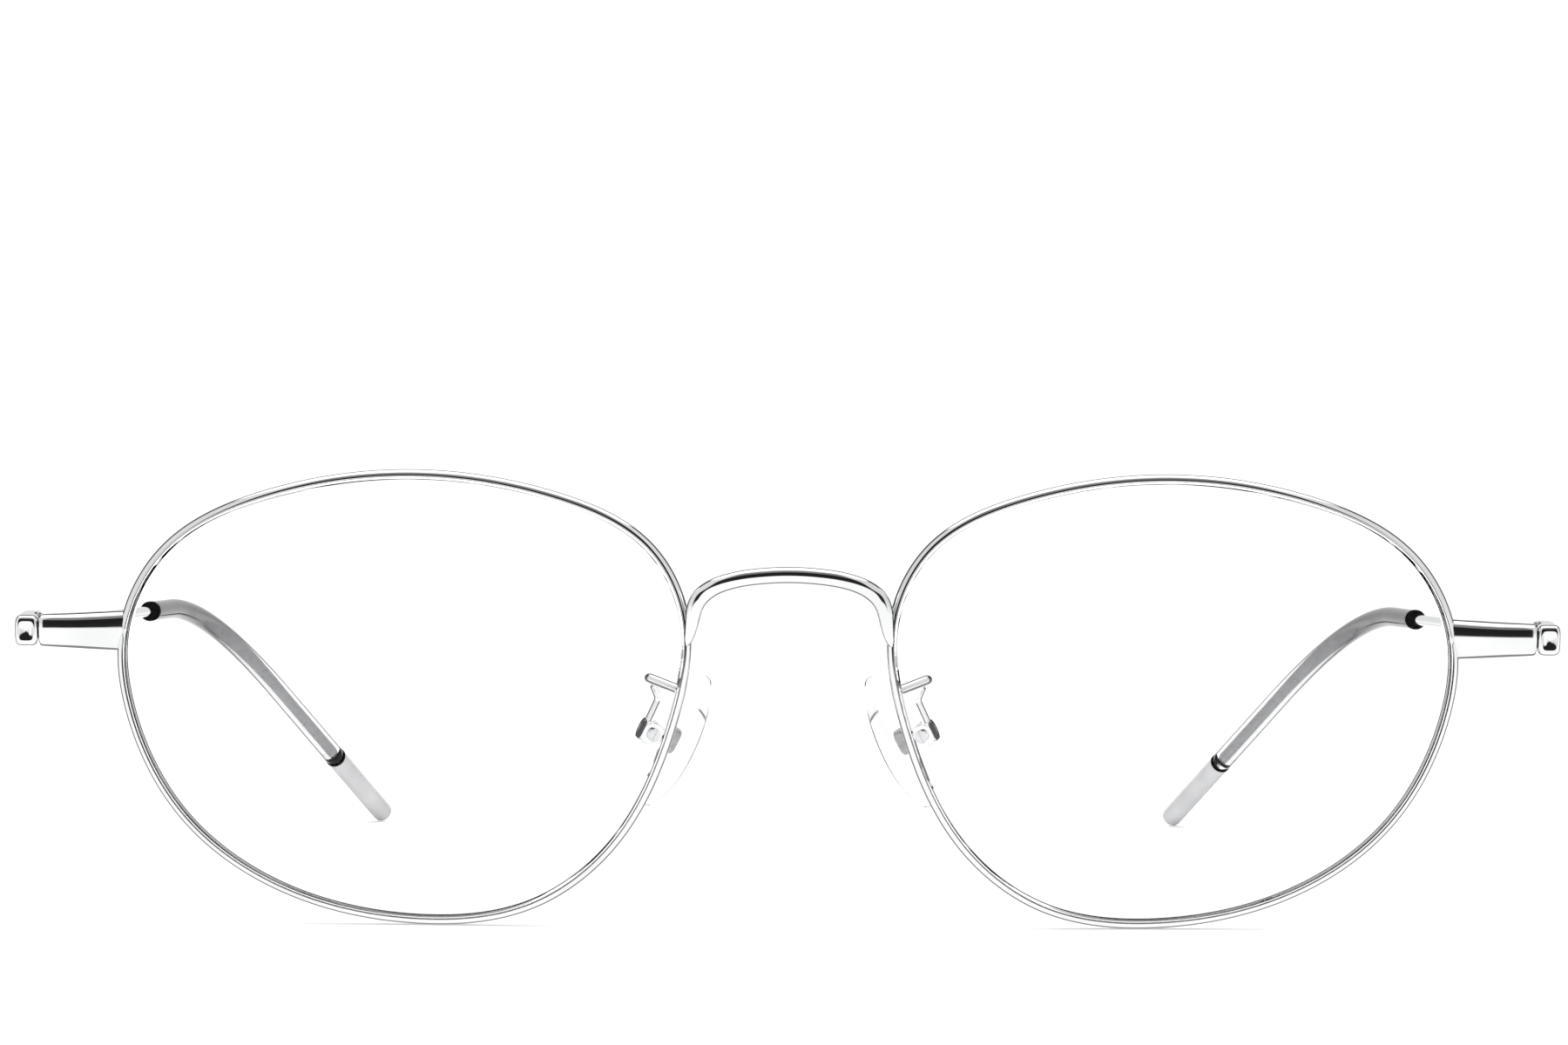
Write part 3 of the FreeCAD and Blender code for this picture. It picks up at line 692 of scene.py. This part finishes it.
# From the front face of a block back: share of its section, distance behind the front face
BLOCK_ROWS = [
    (0.04, 0.13), (0.22, 0.11), (0.42, 0.05), (0.60, 0.01), (0.74, 0.03), (0.86, 0.11),
    (0.945, 0.26), (0.99, 0.48), (1.0, 0.75), (1.0, 1.6), (1.0, 2.6), (1.0, 3.55),
    (0.985, 3.95), (0.93, 4.25), (0.84, 4.42), (0.70, 4.45),
]


def make_block():
    """The block at the front of a temple, softly pillowed, cut clear of the endpiece's knuckles."""
    middle = ((BLOCK_IN_X + BLOCK_OUT_X) / 2, LUG_FRONT_Y + 0.35, LUG_Z)
    half_wide = (BLOCK_OUT_X - BLOCK_IN_X) / 2
    trim = 0.002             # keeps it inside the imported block
    corner_power = 4.5
    rings = []
    for share, behind in smooth_run(BLOCK_ROWS, 61):
        section = rounded_oblong(half_wide * share - trim, BLOCK_HALF_Z * share, corner_power, 56)
        depth = np.full(len(section), middle[1] + behind)
        rings.append(np.column_stack([middle[0] + section[:, 0], depth, middle[2] + section[:, 1]]))
    beyond = 3.0
    clear_r = KNUCKLE_R + 0.08
    spans = ((-beyond, -KNUCKLE_MID - 0.01), (KNUCKLE_MID + 0.01, beyond))
    cutters = [barrel(HINGE, low, high, clear_r, 0.01) for low, high in spans]
    return cut_mesh(loft(rings), join(cutters))


def cut_mesh(solid, tool):
    """The first closed mesh less the second."""
    objects = []
    for name, (verts, faces) in (("solid", solid), ("tool", tool)):
        mesh = bpy.data.meshes.new(name)
        mesh.from_pydata(np.array(verts).tolist(), [], [list(face) for face in faces])
        made = bmesh.new()
        made.from_mesh(mesh)
        bmesh.ops.recalc_face_normals(made, faces=made.faces)
        made.to_mesh(mesh)
        made.free()
        obj = bpy.data.objects.new(name, mesh)
        bpy.context.scene.collection.objects.link(obj)
        objects.append(obj)
    cut = objects[0].modifiers.new("cut", "BOOLEAN")
    cut.operation = "DIFFERENCE"
    cut.object = objects[1]
    bpy.context.view_layer.update()
    result = objects[0].evaluated_get(bpy.context.evaluated_depsgraph_get()).to_mesh()
    verts = np.array([tuple(vertex.co) for vertex in result.vertices])
    faces = [tuple(polygon.vertices) for polygon in result.polygons]
    for obj in objects:
        mesh = obj.data
        bpy.data.objects.remove(obj)
        bpy.data.meshes.remove(mesh)
    return verts, faces


for side, sign in SIDES:
    piece("lug_" + side, make_lug(sign), "front", "chrome", CHROME, ["endpiece_" + side], 40.0)


# ------------------------------------------------------------------ temples and their tips

def temple_route():
    root = to_world(np.array(((BLOCK_IN_X + BLOCK_OUT_X) / 2, HINGE[1] + BLOCK_BEHIND - 0.5, LUG_Z)))
    across = np.array((0, SHIFT[1], 0))
    return rounded_route([root, BEND + across, TIP + across], BEND_R, 0.6)


TEMPLE = temple_route()
TEMPLE_LONG = lengths(TEMPLE)[-1]
CAP_FROM = TEMPLE_LONG - CAP_LONG
RING_FROM = CAP_FROM - RING_LONG
SLEEVE_AFTER = SLEEVE_FROM + COLLAR_LONG
BAND_LONG = 0.45
BAND_PROUD = 0.04        # how far the dark rings stand out from the sleeve
CORE_WIDE = 0.40         # flattened core inside the sleeve: half width across the temple, half thickness
CORE_THIN = 0.23


def along_temple(where):
    along = lengths(TEMPLE)
    return np.stack([np.interp(where, along, TEMPLE[:, i]) for i in range(3)], axis=1)


def bar(where, radii, count=36):
    """A solid bar on the temple's route; radii are single numbers or (up, across) pairs."""
    sections = []
    for r in radii:
        up, across = r if np.ndim(r) else (r, r)
        sections.append(circle(1.0, count) * (up, across))
    return loft(swept(along_temple(np.array(where)), sections))


def make_sleeve(sign):
    """The clear sleeve, moulded solid round its core, with rounded ends."""
    lip = 0.25
    start = SLEEVE_AFTER - COLLAR_LONG * 0.5
    stop = CAP_FROM - BAND_LONG
    where = [start, start + 0.08, start + lip]
    where += list(np.linspace(start + 1, stop - 1, 90))
    where += [stop - lip, stop - 0.08, stop]
    radii = [SLEEVE_R0 + (SLEEVE_R1 - SLEEVE_R0) * (at - start) / (stop - start) for at in where]
    for i, less in ((0, lip), (1, lip * 0.4), (-1, lip), (-2, lip * 0.4)):
        radii[i] -= less
    return mirrored(*bar(where, radii, 40), sign)


def make_core(sign):
    """The wire's far end, flattened inside the sleeve, ending just short of the black band."""
    start = SLEEVE_AFTER - 0.5
    stop = RING_FROM - 0.35
    where = [start, start + 1.5, start + 4.0]
    where += list(np.linspace(start + 6.0, stop - 0.8, 80))
    where += [stop - 0.25, stop]
    radii = [(TEMPLE_R * 0.98, TEMPLE_R * 0.98), (0.50, 0.45)]
    radii += [(CORE_WIDE, CORE_THIN)] * 81
    radii += [(CORE_WIDE * 0.85, CORE_THIN * 0.85), (CORE_WIDE * 0.45, CORE_THIN * 0.45)]
    return mirrored(*bar(where, radii, 28), sign)


def make_band(start, stop, radius, sign):
    """A plain ring with rounded edges round the temple, filled where the sleeve or the cap is."""
    edge = 0.10
    where = [start, start + edge * 0.3, start + edge, stop - edge, stop - edge * 0.3, stop]
    radii = [radius - edge, radius - edge * 0.3, radius, radius, radius - edge * 0.3, radius - edge]
    return mirrored(*bar(where, radii, 40), sign)


def make_temple(sign):
    """Front block, the hinge's middle knuckle, the taper and the bare wire, as far as the sleeve."""
    middle_x = (BLOCK_IN_X + BLOCK_OUT_X) / 2
    web_half = KNUCKLE_MID - 0.02
    web_low = (HINGE[0], LUG_BACK_Y + 0.42, LUG_Z - web_half)
    web_high = (middle_x, HINGE[1] + KNUCKLE_R - 0.05, LUG_Z + web_half)
    web = cushion(web_low, web_high, edge=0.05, power=8)
    verts, faces = join([make_block(), web, barrel(HINGE, -KNUCKLE_MID, KNUCKLE_MID, KNUCKLE_R)])
    start = TAPER_LONG * 0.05
    taper = np.linspace(start, TAPER_LONG, 30)
    bare = np.linspace(TAPER_LONG + 1, SLEEVE_AFTER, 60)
    where = np.concatenate([taper, bare])
    more_up = 0.68
    more_across = 0.37
    radii = []
    for at in where:
        wide = np.clip((TAPER_LONG - at) / (TAPER_LONG - start), 0, 1) ** 1.6
        radii.append((TEMPLE_R + more_up * wide, TEMPLE_R + more_across * wide))
    wire = bar(where, radii, 32)
    return mirrored(*join([(to_world(verts), faces), wire]), sign)


def make_end_cap(sign):
    """The pale cap on the tip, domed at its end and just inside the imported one."""
    heading = TEMPLE[-1] - TEMPLE[-2]
    heading = heading / np.linalg.norm(heading)
    start = TEMPLE[-1] - heading * CAP_LONG
    end = TEMPLE[-1] - heading * CAP_DOME
    return mirrored(*domed_rod(start, end, CAP_R - 0.005, CAP_DOME), sign)


for side, sign in SIDES:
    body = "temple_" + side
    # the mouth ring and the band before the cap are near black, partly painted shade of the sleeve's opening
    # and of the joint
    mouth_ring = make_band(SLEEVE_FROM, SLEEVE_AFTER, SLEEVE_R0 + BAND_PROUD, sign)
    black_band = make_band(CAP_FROM - BAND_LONG, CAP_FROM, SLEEVE_R1 + BAND_PROUD, sign)
    piece("temple_wire_" + side, make_temple(sign), body, "chrome", CHROME, ["temple_" + side], 40.0)
    piece("flat_core_" + side, make_core(sign), body, "chrome", SATIN)
    piece("sleeve_" + side, make_sleeve(sign), body, "clear_sleeve", SLEEVE, ["temple_sleeve_" + side])
    piece("mouth_ring_" + side, mouth_ring, body, "dark_band", DARK, ["sleeve_collar_" + side])
    piece("black_band_" + side, black_band, body, "dark_band", DARK, ["joint_ring_" + side])
    piece("end_cap_" + side, make_end_cap(sign), body, "frosted_tip", FROSTED, ["tip_cap_" + side])


# ------------------------------------------------------------------ nose pads

def pad_axes():
    along = np.array((-math.sin(PAD_LEAN), 0, math.cos(PAD_LEAN)))
    across = np.array((math.sin(PAD_SPLAY), math.cos(PAD_SPLAY), 0))
    across = across - along * (across @ along)
    across = across / np.linalg.norm(across)
    return across, np.cross(along, across), along


def place_pad(points):
    across, face, along = pad_axes()
    points = np.array(points, float)
    return to_world(PAD_CENTRE + points[..., :1] * across + points[..., 1:2] * face + points[..., 2:] * along)


def make_pad(sign):
    """A soft D, fullest at its middle plane, domed on both faces."""
    outline, _ = closed_spline(PAD_OUTLINE, 64)
    rings = []
    for i in range(31):
        turn = math.pi * (i / 30 - 0.5)
        share = max(math.cos(turn) ** 0.62, 0.03)
        depth = np.full(len(outline), PAD_THICK / 2 * math.sin(turn) * 0.98)
        rings.append(np.column_stack([outline[:, 0] * share, depth, outline[:, 1] * share]))
    return mirrored(*loft(place_pad(rings)), sign)


# Along the stem from its pivot eye into the pad: where, half thickness, half height, power
INSERT_ROWS = [
    (-3.38, 0.10, 0.20, 2.2), (-3.30, 0.24, 0.36, 2.4), (-3.05, 0.30, 0.54, 2.8), (-2.80, 0.30, 0.60, 3.0),
    (-1.75, 0.30, 0.60, 3.0), (-1.30, 0.36, 0.66, 3.0), (-1.05, 0.56, 0.92, 3.2), (-0.90, 0.72, 1.15, 3.4),
    (-0.72, 0.80, 1.24, 3.4), (0.10, 0.80, 1.24, 3.4), (0.28, 0.70, 1.14, 3.2), (0.34, 0.45, 0.85, 3.0),
]


def make_insert(sign):
    """The metal insert: an eye on the pivot, a short stem, and a small rounded plate held in the pad."""
    rings = []
    for y, thick, high, power in smooth_run(INSERT_ROWS, 56):
        section = rounded_oblong(thick, high, power, 36)
        rings.append(np.column_stack([section[:, 0], np.full(36, y), section[:, 1]]))
    return mirrored(*loft(place_pad(rings)), sign)


def make_arm(sign):
    """The bent wire from the back of the rim to the pad box."""
    _, face, along = pad_axes()
    landing = PAD_CENTRE - face * (PAD_STEM + 0.62) + along * 0.7
    route = rounded_route([*ARM_ROUTE, landing], 0.8, 0.12)
    sections = [circle(ARM_R, 28) for _ in route]
    return mirrored(*loft(to_world(swept(route, sections))), sign)


def make_pad_box(sign):
    """Two rounded cheeks on a floor, which hold the pad's pivot between them."""
    parts = []
    for low, high in ((-0.83, -0.38), (0.38, 0.83)):
        parts.append(cushion((low, -PAD_STEM - 1.05, -1.05), (high, -PAD_STEM + 0.95, 1.05), 0, 3.6, 0.12))
    parts.append(cushion((-0.70, -PAD_STEM - 1.03, -0.98), (0.70, -PAD_STEM - 0.74, 0.98), 1, 5.0, 0.06))
    verts, faces = join(parts)
    return mirrored(place_pad(verts), faces, sign)


for side, sign in SIDES:
    body = "nose_pad_" + side
    piece("pad_wire_" + side, make_arm(sign), "front", "chrome", CHROME, ["pad_arm_" + side])
    piece("pad_clevis_" + side, make_pad_box(sign), "front", "chrome", CHROME, ["pad_box_" + side], 40.0)
    piece("pad_insert_" + side, make_insert(sign), body, "pad_metal", SATIN, ["pad_core_" + side])
    pad = piece("soft_pad_" + side, make_pad(sign), body, "clear_silicone", SILICONE, [body])
    pad.visible_shadow = False


# ------------------------------------------------------------------ CAD nodes that keep their shape

CARRIED = {
    "closing_block_upper": CHROME, "closing_block_lower": CHROME,
    "rim_screw": STEEL, "hinge_screw": STEEL, "pad_screw": STEEL,
}
for name, obj in frame["nodes"].items():
    kind = name.replace("_right", "").replace("_left", "")
    if kind in CARRIED:
        obj.data.materials.clear()
        obj.data.materials.append(CARRIED[kind])
        obj.data.polygons.foreach_set("use_smooth", [True] * len(obj.data.polygons))
        obj.data.set_sharp_from_angle(angle=math.radians(28))


# ------------------------------------------------------------------ studio

def plain_surface(name, tone, glow):
    material, nodes, links, bsdf = shader(name)
    paper = noise(nodes, links, 30, 2)
    links.new(tint(nodes, links, paper, (tone * 0.99,) * 3, (tone,) * 3), bsdf.inputs["Base Color"])
    bsdf.inputs["Roughness"].default_value = 0.9
    bsdf.inputs["Specular IOR Level"].default_value = 0.0
    bsdf.inputs["Emission Color"].default_value = (1, 1, 1, 1)
    bsdf.inputs["Emission Strength"].default_value = glow
    return material


def build_floor():
    """A pale sweep: flat floor that curves up into a backdrop."""
    half = 3.0
    curve_from = 1.5
    curve_r = 0.8
    top = 4.0
    line = [(-half, 0.0), (curve_from, 0.0)]
    for i in range(1, 13):
        turn = math.pi / 2 * i / 12
        line.append((curve_from + curve_r * math.sin(turn), curve_r * (1 - math.cos(turn))))
    line.append((curve_from + curve_r, top))
    verts = []
    for y, z in line:
        verts += [(-half, y, z), (half, y, z)]
    faces = [(2 * i, 2 * i + 1, 2 * i + 3, 2 * i + 2) for i in range(len(line) - 1)]
    mesh = bpy.data.meshes.new("floor")
    mesh.from_pydata(verts, [], faces)
    mesh.polygons.foreach_set("use_smooth", [True] * len(mesh.polygons))
    mesh.materials.append(plain_surface("pale_sweep", 0.90, 0.12))
    obj = bpy.data.objects.new("floor", mesh)
    bpy.context.scene.collection.objects.link(obj)
    obj.visible_glossy = False


def area_light(name, location, target, size, power):
    data = bpy.data.lights.new(name, "AREA")
    data.shape = "RECTANGLE"
    data.size, data.size_y = size
    data.energy = power
    obj = bpy.data.objects.new(name, data)
    obj.location = location
    obj.rotation_euler = (Vector(target) - Vector(location)).to_track_quat("-Z", "Y").to_euler()
    bpy.context.scene.collection.objects.link(obj)


def window(value, low, high, soft):
    """1 inside low..high, falling smoothly to 0 over soft outside it."""
    rise = np.clip((value - low) / soft + 1, 0, 1)
    fall = np.clip((high - value) / soft + 1, 0, 1)
    return (rise * rise * (3 - 2 * rise)) * (fall * fall * (3 - 2 * fall))


def surround_tone(az, el):
    """Brightness that polished pieces see, by direction in degrees.

    az is 0 towards the camera and el is height above the horizon. All is white below and light
    grey above. A black flag with a grey one over it stands in front, and a dark ring stands round
    the white backdrop behind, which draws the dark outlines of polished wire.
    """
    white = 1.12
    black = 0.015
    behind = np.clip(-np.cos(np.radians(az)) * np.cos(np.radians(el)), -1, 1)
    from_behind = np.degrees(np.arccos(behind))
    above = np.clip((el + 12) / 18, 0, 1)
    tone = white - 0.32 * above * above * (3 - 2 * above)
    front = window(np.abs(az), -1, 32, 6)
    tone *= 1 - 0.98 * window(el, -10, 24, 4) * front
    tone *= 1 - 0.72 * window(el, 24, 48, 6) * front
    ring_depth = 0.83 + 0.07 * np.clip(el / 20, -1, 1)
    tone *= 1 - ring_depth * window(from_behind, 33, 76, 7)
    return np.clip(tone, black, None)


def build_surround():
    """A shell of white and dark studio panels that only reflections see."""
    columns = 240
    rows = 120
    az = np.linspace(-180, 180, columns + 1)[:-1]
    el = np.linspace(-88, 88, rows)
    grid_az, grid_el = np.meshgrid(az, el)
    tone = surround_tone(grid_az, grid_el).reshape(-1)
    turn = np.radians(grid_az)
    lift = np.radians(grid_el)
    radius = 5.0
    level = np.cos(lift)
    verts = np.stack([np.sin(turn) * level, -np.cos(turn) * level, np.sin(lift)], axis=-1)
    verts = verts.reshape(-1, 3) * radius + np.array((0, 0, 0.03))
    faces = []
    for i in range(rows - 1):
        for j in range(columns):
            k = (j + 1) % columns
            here = i * columns
            over = here + columns
            faces.append((here + j, here + k, over + k, over + j))
    faces.append(tuple(range(columns)))
    faces.append(tuple((rows - 1) * columns + j for j in reversed(range(columns))))
    mesh = bpy.data.meshes.new("surround")
    mesh.from_pydata(verts.tolist(), [], faces)
    layer = mesh.color_attributes.new("tone", "FLOAT_COLOR", "POINT")
    layer.data.foreach_set("color", np.column_stack([tone, tone, tone, np.ones_like(tone)]).reshape(-1))
    material = bpy.data.materials.new("studio_panels")
    material.use_nodes = True
    nodes = material.node_tree.nodes
    nodes.clear()
    shade = nodes.new("ShaderNodeVertexColor")
    shade.layer_name = "tone"
    glow = nodes.new("ShaderNodeEmission")
    out = nodes.new("ShaderNodeOutputMaterial")
    material.node_tree.links.new(shade.outputs["Color"], glow.inputs["Color"])
    material.node_tree.links.new(glow.outputs["Emission"], out.inputs["Surface"])
    mesh.materials.append(material)
    obj = bpy.data.objects.new("surround", mesh)
    bpy.context.scene.collection.objects.link(obj)
    obj.visible_camera = False
    obj.visible_diffuse = False
    obj.visible_transmission = False
    obj.visible_shadow = False


def build_studio():
    world = bpy.data.worlds.new("studio")
    bpy.context.scene.world = world
    world.use_nodes = True
    background = world.node_tree.nodes["Background"]
    background.inputs["Color"].default_value = (1, 1, 1, 1)
    background.inputs["Strength"].default_value = 1.0
    area_light("top_softbox", (0, 0.1, 1.2), (0, 0, 0), (1.6, 1.2), 9)
    build_floor()
    build_surround()


build_studio()

CAMERA_BACK = 393.5       # camera to the plane between the lenses
CAMERA_UP = 36.85
CAMERA_ASIDE = -3.69
camera_data = bpy.data.cameras.new("camera")
camera_data.lens = 100
camera_data.sensor_width = 36
camera_data.clip_start = 0.01
camera = bpy.data.objects.new("camera", camera_data)
camera.location = (CAMERA_ASIDE * MM, (SHIFT[1] - CAMERA_BACK) * MM, CAMERA_UP * MM)
camera.rotation_euler = (math.pi / 2, math.radians(-0.393), math.radians(-0.458))
bpy.context.scene.collection.objects.link(camera)
bpy.context.scene.camera = camera
bpy.context.scene.view_settings.view_transform = "Standard"
